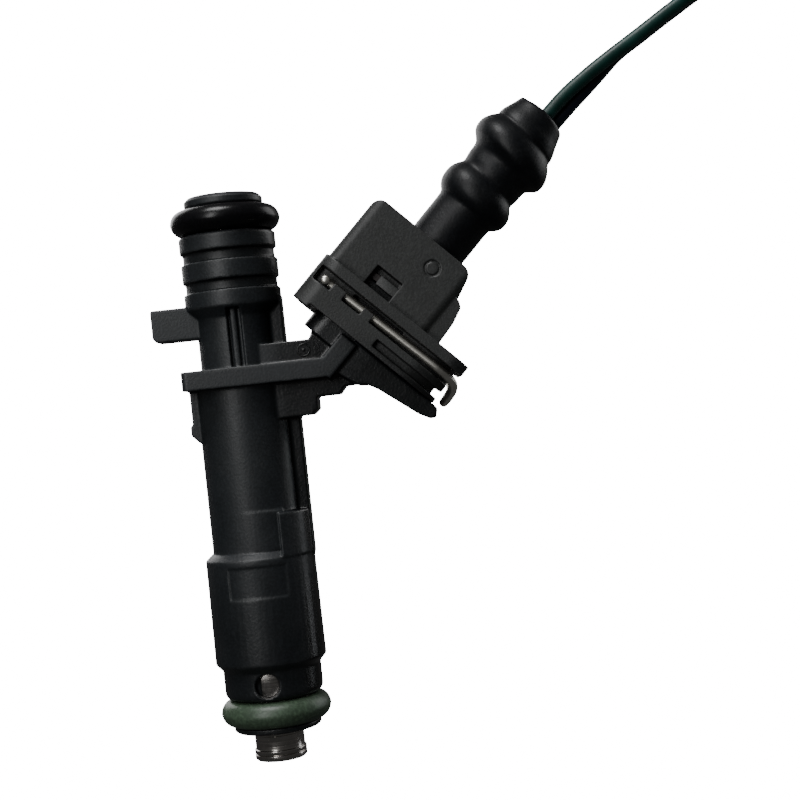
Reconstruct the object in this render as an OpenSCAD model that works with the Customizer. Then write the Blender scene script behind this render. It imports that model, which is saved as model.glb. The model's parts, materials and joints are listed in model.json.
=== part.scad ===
// Top-feed fuel injector with its two-pin connector plugged in.
// The injector's axis is Z and the nozzle's tip is at the origin. The connector leaves towards +X
// at plug_angle from the axis. All sizes are in millimetres.

/* [Nozzle] */
// Radius of the nozzle's tip ring
tip_r = 3.45; // [2.9:0.05:4.2]
// Height of the tip ring
tip_ring_h = 1.5; // [1.2:0.1:1.8]
// Length of bare nozzle below the retainer
tip_len = 4; // [3.3:0.1:5]
// Wall of the nozzle around its fuel bore
nozzle_wall = 1.15; // [0.9:0.05:1.4]
// Radius of the valve ball
ball_r = 1.5; // [1.25:0.05:1.8]
// Travel of the needle
needle_lift = 0.12; // [0.05:0.01:0.15]

/* [Seals] */
// Thickness of both O-rings
seal_section = 3.53; // [2.9:0.01:4.3]
// Reach of the lower retainer ring past the bore of the O-ring
retainer_reach = 2; // [1.4:0.1:2.6]
// Thickness of the lower retainer ring
retainer_h = 0.8; // [0.6:0.1:1.2]

/* [Moulded body] */
// Radius of the neck above the lower seal
neck_r = 6.5; // [5.4:0.05:7.8]
// Height of the straight part of the neck
neck_h = 3.9; // [3.4:0.1:5]
// Wall of the neck around the nozzle's steel
neck_wall = 1.2; // [0.9:0.1:1.5]
// Radius of the coil section
coil_section_r = 7.35; // [6.9:0.05:9]
// Length of the coil section
coil_section_len = 13.7; // [13:0.1:18]
// Wall of plastic over the coil's steel housing
coil_cover = 0.8; // [0.6:0.05:1]
// Radius of the barrel above the coil
barrel_r = 6.15; // [5.6:0.05:7.4]
// Length of the barrel up to the collar
barrel_len = 21.8; // [18.1:0.1:26.2]
// Height of the collar
collar_h = 2.5; // [2:0.1:3.5]
// Width of the collar, left to right
collar_w = 14.3; // [13:0.1:17.2]
// Width of the collar and of the strap, front to back
strap_w = 14.4; // [13.4:0.1:17.3]
// Radius of the upper barrel
upper_r = 5.15; // [4.7:0.05:6.2]
// Length of the upper barrel
upper_len = 8; // [7:0.1:10]
// Radius of the grooved sleeve under the upper seal
sleeve_r = 6.4; // [5.8:0.05:7.7]
// Height of the grooved sleeve
sleeve_h = 9.8; // [8.2:0.1:12]
// Height of each clip groove in the sleeve
groove_h = 1.4; // [1:0.1:1.8]
// Reach of the locating tab from the axis
tab_reach = 10.9; // [9:0.1:13.1]

/* [Coil] */
// Wall of the coil's steel housing
housing_wall = 0.6; // [0.5:0.05:0.8]

/* [Fuel tube] */
// Radius of the fuel passage
passage_r = 2.76; // [2.3:0.02:3]
// Wall of the inlet tube
inlet_wall = 0.94; // [0.75:0.01:1.2]
// Width of the inlet cap's flat rim
cap_rim = 1.5; // [1:0.1:2.2]
// Height of the inlet cap
cap_h = 1.5; // [1.3:0.1:3]

/* [Socket and plug] */
// Angle between the injector's axis and the connector's
plug_angle = 45; // [40:1:50]
// Outside length of the socket's shroud
shroud_len = 14; // [12.8:0.1:16.8]
// Outside width of the socket's shroud
shroud_w = 9.8; // [9.2:0.1:11.8]
// Wall of the socket's shroud
shroud_wall = 1.2; // [0.9:0.05:1.4]
// Distance between the two terminals
terminal_pitch = 5; // [4.8:0.1:5.2]
// Thickness of a terminal blade
blade_t = 0.8; // [0.6:0.05:0.95]
// Width of a terminal blade
blade_w = 2.8; // [2.3:0.1:3.3]
// Wall of the plug's box around the shroud
box_wall = 1.1; // [0.9:0.05:1.4]
// How far the plug's plates stand out past its box
plate_lip = 2.1; // [1.8:0.1:2.6]
// Diameter of the clip's spring wire
clip_d = 1.2; // [0.9:0.05:1.3]
// How far the clip can be pressed in
clip_travel = 0.4; // [0.3:0.1:0.8]

/* [Boot and wires] */
// Radius of the rubber boot's tube
boot_r = 4.1; // [3.6:0.05:4.6]
// Diameter of each wire
wire_d = 1.9; // [1.6:0.05:1.95]
// Diameter of the bare strands at a wire's end
strand_d = 1.1; // [0.9:0.05:1.3]

/* [Hidden] */
$fn = 64;
fit = 0.02;          // gap between pieces that are pressed or moulded together
run_gap = 0.05;      // gap at a sliding fit
loose = 0.3;         // gap at a hand-fitted joint
eps = 0.01;

// Heights along the injector's axis
z_retainer = tip_len;
z_lower_seal = z_retainer + retainer_h + seal_section / 2 + fit;
z_body = z_lower_seal + seal_section / 2 + fit;
z_neck_top = z_body + neck_h;
z_coil = z_neck_top + 0.9;
z_shoulder = z_coil + coil_section_len;
z_barrel = z_shoulder + 0.7;
z_collar = z_barrel + barrel_len;
z_upper = z_collar + collar_h;
z_sleeve = z_upper + upper_len;
z_sleeve_top = z_sleeve + sleeve_h;
z_upper_seal = z_sleeve_top + seal_section / 2 + fit;
z_cap = z_upper_seal + seal_section / 2 + fit;
z_top = z_cap + cap_h;

// Radii, from the fuel passage outwards
inlet_r = passage_r + inlet_wall;
seal_bore_r = inlet_r + 0.07;
seal_r = seal_bore_r + seal_section / 2;
seat_r = seal_bore_r - run_gap;
retainer_seat_r = seat_r - 0.1;
retainer_r = seal_bore_r + retainer_reach;
cap_r = inlet_r + cap_rim;
nozzle_bore_r = tip_r - nozzle_wall;
lower_body_r = neck_r - neck_wall;
housing_r = coil_section_r - coil_cover;

// Valve and magnet
z_seat_plate = 0.45;
plate_t = 0.4;
z_valve_seat = z_seat_plate + plate_t + fit;
z_cone = z_valve_seat + 0.7;
spray_r = 0.9;
z_ball = z_cone - spray_r + ball_r * sqrt(2) + 0.04;
z_valve_seat_top = z_ball + 0.8;
needle_r = 1.25;
needle_wall = 0.45;
z_needle = z_ball + sqrt(ball_r * ball_r - pow(needle_r - needle_wall, 2)) + fit;
valve_sleeve_r = passage_r + 0.4;
z_sleeve_foot = z_coil - 2.7;
armature_r = passage_r - run_gap;
armature_len = 7.5;
z_armature = z_coil + 1.3;
z_needle_top = z_armature + 2.5;
pocket_r = 1.55;
z_spring = z_armature + 3.7;
z_pole = z_armature + armature_len + needle_lift + 0.05;
pole_len = 14;
z_adjuster = z_pole + 5;
adjuster_len = 6;
z_housing_top = z_shoulder - 0.5;
ring_t = 1;
bobbin_wall = 0.6;
flange_t = 0.7;
z_bobbin = z_coil + ring_t + fit;
z_bobbin_top = z_housing_top - ring_t - fit;
bobbin_flange_r = housing_r - housing_wall - run_gap;
z_inlet = z_pole + pole_len - 3;

// Fuel filter
filter_collar_len = 5;
z_filter_collar = z_top - filter_collar_len - 1.6;
filter_r = passage_r - 0.46;
screen_r = filter_r - 0.35;
screen_len = 10.2;
z_filter = z_filter_collar - screen_len - 1.8;

// The connector's own frame: u runs across it, w along it, and both start on the injector's axis
z_plug = z_collar - 11.8;
w_pad = 22.4;        // top of the socket's pad
w_floor = 21.8;      // bottom of the socket's hollow
w_skirt = 22.5;      // lower edge of the plug
w_plate = 25.3;      // top of the lower plate
w_upper_plate = 27.4;
w_box = 28.9;
w_shroud_top = 30;
w_box_top = 38.9;
w_boot = 38.2;
w_boot_end = 62;
hollow_u = shroud_len / 2 + loose;
hollow_y = shroud_w / 2 + loose;
box_left = -hollow_u - 2.6;
box_right = hollow_u - 0.7;
box_w = 2 * (hollow_y + box_wall);
plate_left = box_left - 0.3;
plate_right = hollow_u + 6;
plate_w = box_w + 2 * plate_lip;
pad_left = -shroud_len / 2 + 2.1;
pad_right = shroud_len / 2 + 7.1;
lower_right = hollow_u + 5.3;
clip_gap = 0.15;     // gap between the clip and the plug, past its travel
clip_right = lower_right + clip_travel + clip_gap + clip_d / 2;
clip_bend_r = 4.4;   // radius of the clip's bend, at the middle of its wire
leg_y = box_w / 2 + 0.1 + clip_d / 2;
block_len = shroud_len - 2 * shroud_wall - 0.8;
block_w = shroud_w - 2 * shroud_wall - 0.8;
terminal_u = terminal_pitch / 2;
cell_t = blade_t + 1.2;      // outside thickness of a receptacle
cell_w = blade_w + 1;        // outside width of a receptacle
lock_len = 5.76;
lock_t = 0.66;
lock_h = 1.3;
w_block = 23.6;
w_cell = 24;
w_cell_top = 30.4;
w_blade_top = 29.2;

// The two leads from the coil to the blades, side by side in their rib
lead_w = 1.2;
lead_y = 0.3;
lead_x = housing_r - housing_wall - 0.35 - blade_t / 2;
rib_w = 2 * (lead_y + lead_w + 0.4);

// Routes. The first points of each wire are [u, y, w] in the connector's frame, from the crimp to
// just past the boot. The free points are [x, y, z] with the injector's axis as z.
green_held = [
    [-2.5, 0, 31.8], [-2.4, 0, 33.2], [-1.6, -0.3, 35], [-0.6, -0.6, 36.8], [0, -0.75, 38.6],
    [0.2, -0.75, 42], [0.2, -0.75, 47], [0.2, -0.75, 52], [0.3, -0.75, 57], [0.5, -0.8, 62],
    [0.65, -0.85, 65], [1.1, -0.95, 68], [1.7, -1.05, 71], [2.4, -1.05, 74]];
green_free = [
    [57.3, -1.05, 90.2], [62.3, -1.05, 93.3], [67.2, -1.05, 96.1], [72, -1.05, 98.1],
    [77, -1.1, 98.1], [81.6, -1.1, 96.2], [85.2, -1.1, 93], [87.6, -1.1, 88.8],
    [88.5, -1.2, 84], [88.3, -1.4, 78], [87.9, -1.6, 71], [87.7, -1.9, 64], [87.8, -2.1, 57],
    [88.1, -2.3, 50], [88.3, -2.4, 43], [88.2, -2.5, 36], [87.9, -2.6, 29], [87.5, -2.7, 22],
    [87.2, -2.8, 15], [87, -2.8, 8], [87, -2.8, 2]];
dark_held = [
    [2.5, 0, 31.8], [2.5, 0, 33.2], [2.35, 0.3, 35], [1.95, 0.6, 36.8], [1.7, 0.75, 38.6],
    [1.65, 0.75, 42], [1.65, 0.75, 47], [1.65, 0.75, 52], [1.75, 0.75, 57], [1.95, 0.75, 62],
    [2.05, 0.85, 65], [2.25, 0.95, 68], [2.4, 1.05, 71], [2.55, 1.05, 74]];
dark_free = [
    [57.3, 1.05, 90.1], [62.3, 1.05, 93.2], [67.2, 1.05, 96], [72, 1.05, 98],
    [77, 1.1, 98.1], [81.7, 1.1, 96.4], [85.5, 1.1, 93.4], [88.2, 1.1, 89.4],
    [89.5, 1.2, 84.6], [90, 1.4, 79], [90.2, 1.6, 72], [90.4, 1.8, 65], [90.8, 1.9, 58],
    [91.2, 2, 51], [91.4, 2.1, 44], [91.3, 2.2, 37], [91, 2.3, 30], [90.8, 2.4, 23],
    [90.7, 2.4, 16], [90.8, 2.4, 10], [90.9, 2.4, 5]];

// Points of an arc in the plane, from angle a0 to a1
function arc(x, y, r, a0, a1, n = 6) = [for (i = [0 : n]) let (a = a0 + (a1 - a0) * i / n)
    [x + r * cos(a), y + r * sin(a)]];

// A point of the connector's frame, in the injector's
function from_plug(p) = [
    p[0] * cos(plug_angle) + p[2] * sin(plug_angle),
    p[1],
    z_plug + p[2] * cos(plug_angle) - p[0] * sin(plug_angle)];

function unit(v) = v / norm(v);

// Direction of a route at point i
function heading(p, i) = unit(p[min(i + 1, len(p) - 1)] - p[max(i - 1, 0)]);

// A sideways vector for each point of a route, turned as little as possible from the one before
function side_step(t, s) = unit(s - t * (s * t));
function sides_of(p, first, i = 0, found = []) =
    i == len(p) ? found :
    let (last = i == 0 ? first : found[i - 1])
    sides_of(p, first, i + 1, concat(found, [side_step(heading(p, i), last)]));

// A round bar along a route. first is any vector that isn't along the route's start
module sweep(p, r, n = 8, first = [0, 1, 0]) {
    s = sides_of(p, first);
    rings = [for (i = [0 : len(p) - 1]) let (b = cross(heading(p, i), s[i]))
        for (k = [0 : n - 1]) p[i] + r * (s[i] * cos(360 * k / n) + b * sin(360 * k / n))];
    last = (len(p) - 1) * n;
    polyhedron(
        points = rings,
        faces = concat(
            [[for (k = [0 : n - 1]) k]],
            [for (i = [0 : len(p) - 2]) for (k = [0 : n - 1])
                [i * n + k, (i + 1) * n + k, (i + 1) * n + (k + 1) % n]],
            [for (i = [0 : len(p) - 2]) for (k = [0 : n - 1])
                [i * n + k, (i + 1) * n + (k + 1) % n, i * n + (k + 1) % n]],
            [[for (k = [n - 1 : -1 : 0]) last + k]]),
        convexity = 10);
}

module tube(r, inner, h) {
    difference() {
        cylinder(r = r, h = h);
        translate([0, 0, -1]) cylinder(r = inner, h = h + 2);
    }
}

// A rectangle with true round corners, from x0 to x1 and w across
module rounded(x0, x1, w, r) {
    translate([x0 + r, -w / 2]) square([x1 - x0 - 2 * r, w]);
    translate([x0, -w / 2 + r]) square([x1 - x0, w - 2 * r]);
    for (x = [x0 + r, x1 - r], y = [-w / 2 + r, w / 2 - r]) translate([x, y]) circle(r);
}

module slab(x0, x1, w, r, z0, z1) {
    translate([0, 0, z0]) linear_extrude(z1 - z0) rounded(x0, x1, w, r);
}

// A side-view outline, [x, z] points, made w thick across y
module cheek(points, w) {
    translate([0, w / 2, 0]) rotate([90, 0, 0]) linear_extrude(w) polygon(points);
}

// Moves a piece from the connector's frame to the injector's
module at_plug() {
    translate([0, 0, z_plug]) rotate([0, plug_angle, 0]) children();
}

// A route in the plane, moved sideways by d, with mitred corners
function beside(p, d) = [for (i = [0 : len(p) - 1]) let (
    before = unit(p[max(i, 1)] - p[max(i, 1) - 1]),
    after = i < len(p) - 1 ? unit(p[i + 1] - p[i]) : before,
    middle = unit(before + after))
    p[i] + [-middle[1], middle[0]] * d / (middle * before)];

// A flat strip bent along [x, z] points, t thick, from y0 to y1
module strip(p, t, y0, y1) {
    far = beside(p, -t / 2);
    back = [for (i = [len(far) - 1 : -1 : 0]) far[i]];
    translate([0, y1, 0]) rotate([90, 0, 0]) linear_extrude(y1 - y0)
        polygon(concat(beside(p, t / 2), back));
}

// Valve

module nozzle_body() {
    groove = 0.17;
    color([0.62, 0.58, 0.54]) difference() {
        rotate_extrude() polygon([
            [0, 0], [tip_r - 0.25, 0], [tip_r, 0.25], [tip_r, tip_ring_h * 0.5],
            [tip_r - groove, tip_ring_h * 0.56], [tip_r, tip_ring_h * 0.62],
            [tip_r, tip_ring_h - 0.1], [tip_r - groove, tip_ring_h],
            [tip_r - groove, tip_len - 0.7], [seat_r, tip_len - 0.5],
            [seat_r, tip_len - fit], [retainer_seat_r, tip_len - fit],
            [retainer_seat_r, z_retainer + retainer_h], [seat_r, z_retainer + retainer_h],
            [seat_r, z_body], [lower_body_r, z_body + fit], [lower_body_r, z_coil], [0, z_coil]]);
        translate([0, 0, -1]) cylinder(r = nozzle_bore_r - 0.3, h = 3);
        translate([0, 0, z_seat_plate]) cylinder(r = nozzle_bore_r, h = z_coil);
        translate([0, 0, z_sleeve_foot]) cylinder(r = valve_sleeve_r + fit, h = z_coil);
    }
}

module valve_seat() {
    wall_r = nozzle_bore_r - 0.3;
    color([0.7, 0.7, 0.72]) rotate_extrude() polygon([
        [spray_r, z_valve_seat], [nozzle_bore_r - fit, z_valve_seat],
        [nozzle_bore_r - fit, z_valve_seat_top], [wall_r, z_valve_seat_top],
        [wall_r, z_cone + wall_r - spray_r], [spray_r, z_cone]]);
}

module orifice_plate() {
    color([0.75, 0.74, 0.7]) difference() {
        translate([0, 0, z_seat_plate + fit]) cylinder(r = nozzle_bore_r - fit, h = plate_t - fit);
        for (a = [45 : 90 : 315]) rotate([0, 0, a]) translate([0.5, 0, 0]) cylinder(r = 0.12, h = 3);
    }
}

module valve_ball() {
    color([0.8, 0.8, 0.82]) translate([0, 0, z_ball]) sphere(r = ball_r);
}

module needle_tube() {
    color([0.75, 0.75, 0.77]) difference() {
        translate([0, 0, z_needle]) tube(needle_r, needle_r - needle_wall, z_needle_top - z_needle);
        translate([-5, 0, z_needle + 2]) rotate([0, 90, 0]) cylinder(r = 0.35, h = 10);
    }
}

module armature() {
    color([0.55, 0.56, 0.58]) difference() {
        translate([0, 0, z_armature]) cylinder(r = armature_r, h = armature_len);
        translate([0, 0, z_armature - 1]) cylinder(r = needle_r - needle_wall, h = armature_len + 2);
        translate([0, 0, z_armature - 1])
            cylinder(r = needle_r + fit, h = z_needle_top - z_armature + 1);
        translate([0, 0, z_spring]) cylinder(r = pocket_r, h = armature_len);
    }
}

module return_spring() {
    spring_d = 0.36;
    coil_r = pocket_r - 0.35;
    turns = 7;
    steps = 14;
    foot = z_spring + spring_d / 2 + fit;
    rise = z_adjuster - z_spring - spring_d - 2 * fit;
    color([0.7, 0.72, 0.74]) sweep(
        [for (i = [0 : turns * steps]) let (a = 360 * i / steps)
            [coil_r * cos(a), coil_r * sin(a), foot + rise * i / (turns * steps)]],
        spring_d / 2, 6, [1, 0, 0]);
}

module valve_sleeve() {
    color([0.66, 0.66, 0.68]) translate([0, 0, z_sleeve_foot + fit])
        tube(valve_sleeve_r, passage_r, z_inlet - z_sleeve_foot - 2 * fit);
}

module pole_core() {
    color([0.5, 0.5, 0.52]) translate([0, 0, z_pole]) tube(passage_r - fit, pocket_r, pole_len);
}

module adjusting_sleeve() {
    color([0.78, 0.66, 0.4]) translate([0, 0, z_adjuster]) tube(pocket_r - fit, 0.9, adjuster_len);
}

module inlet_tube() {
    color([0.68, 0.68, 0.7]) translate([0, 0, z_inlet])
        tube(inlet_r, passage_r, z_top - 0.4 - z_inlet);
}

// Fuel filter

module filter_collar() {
    color([0.8, 0.62, 0.3]) translate([0, 0, z_filter_collar])
        tube(passage_r - fit, filter_r - 0.15, filter_collar_len);
}

module filter_frame() {
    color([0.85, 0.83, 0.75]) translate([0, 0, z_filter]) {
        cylinder(r = filter_r, h = 1);
        translate([0, 0, 1 + screen_len]) tube(filter_r, filter_r - 0.5, 0.8 - fit);
        for (a = [0, 120, 240]) rotate([0, 0, a])
            translate([screen_r + 0.03, -0.3, 1 - eps])
                cube([filter_r - screen_r - 0.03, 0.6, screen_len + 0.1]);
    }
}

module filter_screen() {
    color([0.75, 0.75, 0.7]) translate([0, 0, z_filter + 1 + fit])
        tube(screen_r, screen_r - 0.1, screen_len - 2 * fit);
}

// Magnet coil

module coil_housing() {
    color([0.45, 0.45, 0.47]) difference() {
        translate([0, 0, z_coil + fit]) cylinder(r = housing_r, h = z_housing_top - z_coil - fit);
        translate([0, 0, z_coil + ring_t]) cylinder(r = housing_r - housing_wall, h = coil_section_len);
        translate([0, 0, z_coil - 1]) cylinder(r = valve_sleeve_r + fit, h = 4);
    }
}

module coil_bobbin() {
    inner = valve_sleeve_r + run_gap;
    color([0.35, 0.3, 0.25]) translate([0, 0, z_bobbin]) {
        tube(inner + bobbin_wall, inner, z_bobbin_top - z_bobbin);
        tube(bobbin_flange_r, inner, flange_t);
        translate([0, 0, z_bobbin_top - z_bobbin - flange_t]) tube(bobbin_flange_r, inner, flange_t);
    }
}

module coil_winding() {
    color([0.72, 0.4, 0.2]) translate([0, 0, z_bobbin + flange_t + fit])
        tube(bobbin_flange_r - 0.25, valve_sleeve_r + run_gap + bobbin_wall + fit,
            z_bobbin_top - z_bobbin - 2 * flange_t - 2 * fit);
}

module flux_ring() {
    color([0.5, 0.5, 0.52]) difference() {
        translate([0, 0, z_housing_top - ring_t])
            tube(housing_r - housing_wall - run_gap, valve_sleeve_r + run_gap, ring_t - fit);
        translate([lead_x - 0.9, -2, z_housing_top - 5]) cube([5, 4, 10]);
    }
}

// The lead and blade of one terminal. side is -1 on the left and 1 on the right. more makes it
// bigger all round, for the space that it fills in the moulding.
module terminal(side, more = 0) {
    t = blade_t + 2 * more;
    y_near = side < 0 ? lead_y : -lead_y - lead_w;
    u_lead = side < 0 ? -1.4 : 0.6;
    route = [for (p = [[u_lead, 0, 15.5], [u_lead, 0, 18.6],
        [side * terminal_u, 0, 20.6], [side * terminal_u, 0, 21.2]]) from_plug(p)];
    bend = [for (p = route) [p[0], p[2]]];
    rise = side < 0 ? 1.4 : 2.6;
    strip(concat([[lead_x, z_housing_top - ring_t], [lead_x, z_collar - rise]], bend),
        t, y_near - more, y_near + lead_w + more);
    at_plug() translate([side * terminal_u, 0, 20.3])
        translate([-t / 2, -blade_w / 2 - more, 0]) cube([t, blade_w + 2 * more, w_blade_top - 20.3]);
}

module terminal_left() {
    color([0.75, 0.72, 0.62]) terminal(-1);
}

module terminal_right() {
    color([0.75, 0.72, 0.62]) terminal(1);
}

// Moulded body

module turned_outline() {
    rotate_extrude() polygon(concat(
        [[0, z_body + fit], [neck_r - 0.9, z_body + fit]],
        arc(neck_r - 0.9, z_body + fit + 0.9, 0.9, -90, 0, 4),
        [[neck_r, z_neck_top], [coil_section_r, z_coil], [coil_section_r - 0.1, z_shoulder],
        [barrel_r + 0.3, z_barrel], [barrel_r, z_barrel + 0.1], [barrel_r, z_collar + 1],
        [upper_r, z_collar + 1],
        [upper_r, z_sleeve - sleeve_r + upper_r], [sleeve_r, z_sleeve + 0.1],
        [sleeve_r, z_sleeve_top - 0.3], [sleeve_r - 0.3, z_sleeve_top], [0, z_sleeve_top]]));
}

// What the steel and copper pieces fill inside the moulding
module body_core() {
    translate([0, 0, z_body - 1]) cylinder(r = lower_body_r + fit, h = z_coil - z_body + 1 + fit);
    translate([0, 0, z_coil]) cylinder(r = housing_r + fit, h = z_housing_top - z_coil + fit);
    translate([0, 0, z_coil]) cylinder(r = valve_sleeve_r + run_gap, h = z_inlet - z_coil);
    translate([0, 0, z_inlet - fit]) cylinder(r = inlet_r + fit, h = z_top);
    terminal(-1, fit);
    terminal(1, fit);
}

// A clip groove: full depth at the front and back, shallow at the sides
module clip_groove(z) {
    side_r = sleeve_r - 0.3;
    front_r = sleeve_r - 1.3;
    big_r = (side_r * side_r / front_r + front_r) / 2;
    difference() {
        translate([0, 0, z]) cylinder(r = sleeve_r + 1, h = groove_h);
        intersection_for (s = [-1, 1])
            translate([0, s * (big_r - front_r), z - 1]) cylinder(r = big_r, h = groove_h + 2);
    }
}

module sleeve_cuts() {
    clip_groove(z_sleeve + 2.2);
    clip_groove(z_sleeve_top - 2.3 - groove_h);
    // Window over the inlet tube at the front and back, with its rib
    for (s = [-1, 1]) difference() {
        translate([-0.6, s > 0 ? upper_r - 0.8 : -upper_r - 1, z_upper])
            cube([1.8, 1.8, z_sleeve - z_upper - 0.2]);
        translate([-0.2, -upper_r + 0.25, z_upper - 1])
            cube([0.8, 2 * upper_r - 0.5, z_sleeve - z_upper + 1]);
    }
}

module body_ribs() {
    rib_x = coil_section_r;
    // Rib over the leads, from the coil section up to the collar
    translate([3, -rib_w / 2, z_barrel - 1]) cube([rib_x - 3, rib_w, z_collar - z_barrel + 1]);
    // Raised sector above the coil, and the shallow pad beside it, which fades out to the left
    intersection() {
        translate([0, 0, z_shoulder]) cylinder(r = rib_x, h = 5.7);
        translate([3.4, -10, z_shoulder]) cube([10, 20, 5.7]);
    }
    intersection() {
        translate([0.35, 0, z_barrel + 0.3]) cylinder(r = barrel_r + 0.1, h = 5.1);
        translate([-2.5, -10, z_barrel]) cube([6.5, 20, 6]);
    }
    // Rib beside the upper barrel
    translate([3, -2.1, z_upper - 1]) cube([sleeve_r - 3, 4.2, z_sleeve - z_upper + 2]);
    // Hooked lug under the collar, opposite the arm
    cheek([[-5, z_collar - 7.4], [-6.2, z_collar - 6.8], [-collar_w / 2, z_collar - 5.8],
        [-collar_w / 2, z_collar - 4.6], [-collar_w / 2 + 0.3, z_collar - 4.4],
        [-collar_w / 2 + 0.3, z_collar + 1], [-5, z_collar + 1]], 4.6);
    // Locating tab
    cheek([[-4, z_upper + 4.3], [-tab_reach + 0.5, z_upper + 4.3], [-tab_reach, z_upper + 4.9],
        [-tab_reach, z_upper + 8.4], [-tab_reach + 0.2, z_upper + 8.6], [-4, z_upper + 8.6]], 4.8);
}

module collar_and_arm() {
    web_top = z_upper + 2.7;
    web_foot = z_collar - 4.7;
    // Collar around the barrel, and the strap that bends up to the socket
    slab(-collar_w / 2, 12.2, strap_w, 0.8, z_collar, z_upper);
    at_plug() translate([-2.2, -strap_w / 2, 16.6]) cube([2.5, strap_w, w_pad - 17]);
    // Web between the straps
    cheek([[3, web_foot], [9.1, web_foot], [9.9, web_foot + 0.7], [9.9, web_foot + 2.3],
        [12.9, web_foot + 2.3], [13.7, web_foot + 3.3], [15.4, web_foot + 3.4], [16.4, web_foot + 3.1],
        [15, web_top - 0.8], [10.2, web_top + 1.3], [9.6, web_top], [3, web_top]], 8.4);
}

// The hollow of the socket, down to its floor
module socket_hollow() {
    slab(-shroud_len / 2 + shroud_wall, shroud_len / 2 - shroud_wall, shroud_w - 2 * shroud_wall,
        1.5, w_floor, w_shroud_top + 1);
}

module socket() {
    at_plug() {
        // Pad under the plug: narrow left of the strap, full right of it
        cheek([[pad_left, 19.3], [0, 17.6], [0, w_pad], [pad_left, w_pad]], 8.4);
        cheek([[-0.2, 17.6], [3.6, 18.2], [4.5, 19], [6, 19.4], [12, 20.2], [pad_right - 0.5, 20.7],
            [pad_right, 21.3], [pad_right - 0.6, w_pad - 0.1], [pad_right - 1.1, w_pad],
            [-0.2, w_pad]], 12.4);
        // Shroud around the blades
        slab(-shroud_len / 2, shroud_len / 2, shroud_w, 2.5, 19.9, w_shroud_top);
        // Catches for the clip
        for (s = [-1, 1]) translate([-3, s * (shroud_w / 2 - 0.1) - 0.2, 23.8]) cube([6, 0.4, 1.4]);
    }
}

module moulded_body() {
    color([0.07, 0.075, 0.08]) difference() {
        union() {
            difference() {
                turned_outline();
                sleeve_cuts();
            }
            body_ribs();
            collar_and_arm();
            socket();
        }
        body_core();
        at_plug() socket_hollow();
        // Locating hole through to the steel
        translate([-0.3, -lower_body_r, z_body + 2.1]) rotate([90, 0, 0]) cylinder(r = 1.6, h = 5);
        // Blank label field
        intersection() {
            translate([0, 0, z_shoulder - 5]) tube(coil_section_r + 1, coil_section_r - 0.22, 4.2);
            translate([-3.9, -coil_section_r - 1, 0]) cube([7.7, coil_section_r, z_shoulder]);
        }
    }
}

// Seals and rings

module o_ring(z) {
    translate([0, 0, z]) rotate_extrude() translate([seal_r, 0]) circle(d = seal_section);
}

module lower_retainer() {
    color([0.05, 0.05, 0.055]) difference() {
        rotate_extrude() polygon([
            [0, z_retainer], [retainer_r - 0.3, z_retainer], [retainer_r, z_retainer + 0.25],
            [retainer_r, z_retainer + retainer_h - fit], [0, z_retainer + retainer_h - fit]]);
        cylinder(r = retainer_seat_r + fit, h = z_body);
    }
}

module lower_seal() {
    color([0.2, 0.33, 0.22]) o_ring(z_lower_seal);
}

module upper_seal() {
    color([0.04, 0.04, 0.045]) o_ring(z_upper_seal);
}

module inlet_cap() {
    color([0.05, 0.05, 0.06]) rotate_extrude() polygon([
        [inlet_r + fit, z_cap], [cap_r - 0.3, z_cap], [cap_r, z_cap + 0.3],
        [cap_r, z_top - 0.5], [cap_r - 0.5, z_top], [passage_r + 0.1, z_top],
        [passage_r + 0.1, z_top - 0.4 + fit], [inlet_r + fit, z_top - 0.4 + fit]]);
}

// Plug, all in the connector's frame

module plug_box() {
    intersection() {
        slab(box_left, box_right, box_w, 1.4, w_upper_plate, w_box_top);
        cheek(concat(
            [[box_left, w_upper_plate], [box_right, w_upper_plate], [box_right, w_box_top - 3.6]],
            arc(box_right - 2, w_box_top - 1.6, 1.5, 20, 90, 4),
            arc(box_left + 1.6, w_box_top - 1.5, 1.5, 90, 180, 5)), box_w + 2);
    }
    // Grip rib on the right, which also closes the hollow there
    cheek([[box_right - 1, w_box - 0.5], [box_right + 1.8, w_box - 0.5], [box_right + 1.6, w_box + 3.2],
        [box_right + 1.1, w_box + 5.4], [box_right + 0.3, w_box + 6], [box_right - 1, w_box + 6]],
        2 * hollow_y + 1.4);
}

module plug_shell() {
    plug_box();
    slab(plate_left, plate_right, plate_w, 2.6, w_upper_plate, w_box);
    // Core between the plates: inside the clip's bend at the right, and closed at the left
    slab(box_left, box_right, box_w, 1.2, w_plate - eps, w_upper_plate + eps);
    slab(0, clip_right - clip_d / 2 - clip_travel - 2 * clip_gap, box_w, clip_bend_r - clip_d / 2,
        w_plate - eps, w_upper_plate + eps);
    intersection() {
        slab(plate_left, plate_right, plate_w, 2.6, w_plate - eps, w_upper_plate + eps);
        translate([plate_left, -plate_w, w_plate - 1]) cube([0.6, 2 * plate_w, 4]);
    }
    // Lower plate and skirt
    intersection() {
        slab(plate_left, lower_right + 4, plate_w, 2.6, w_skirt, w_plate);
        slab(plate_left - 20, lower_right, plate_w, 5.5, w_skirt, w_plate);
    }
    // Lip below the left end
    intersection() {
        slab(plate_left, plate_right, plate_w, 2.6, w_skirt - 0.6, w_skirt + eps);
        translate([plate_left, -plate_w / 2, w_skirt - 1]) cube([2.6, plate_w, 2]);
    }
    // Lips in front of and behind the clip's legs
    lip = plate_w / 2 - leg_y - clip_d / 2 - clip_gap;
    for (side = [-1, 1], u = [[box_left + 3.1, 2], [-1.9, 1.6]])
        translate([u[0], side > 0 ? plate_w / 2 - lip : -plate_w / 2, w_plate - eps])
            cube([u[1], lip, 1.2]);
}

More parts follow.
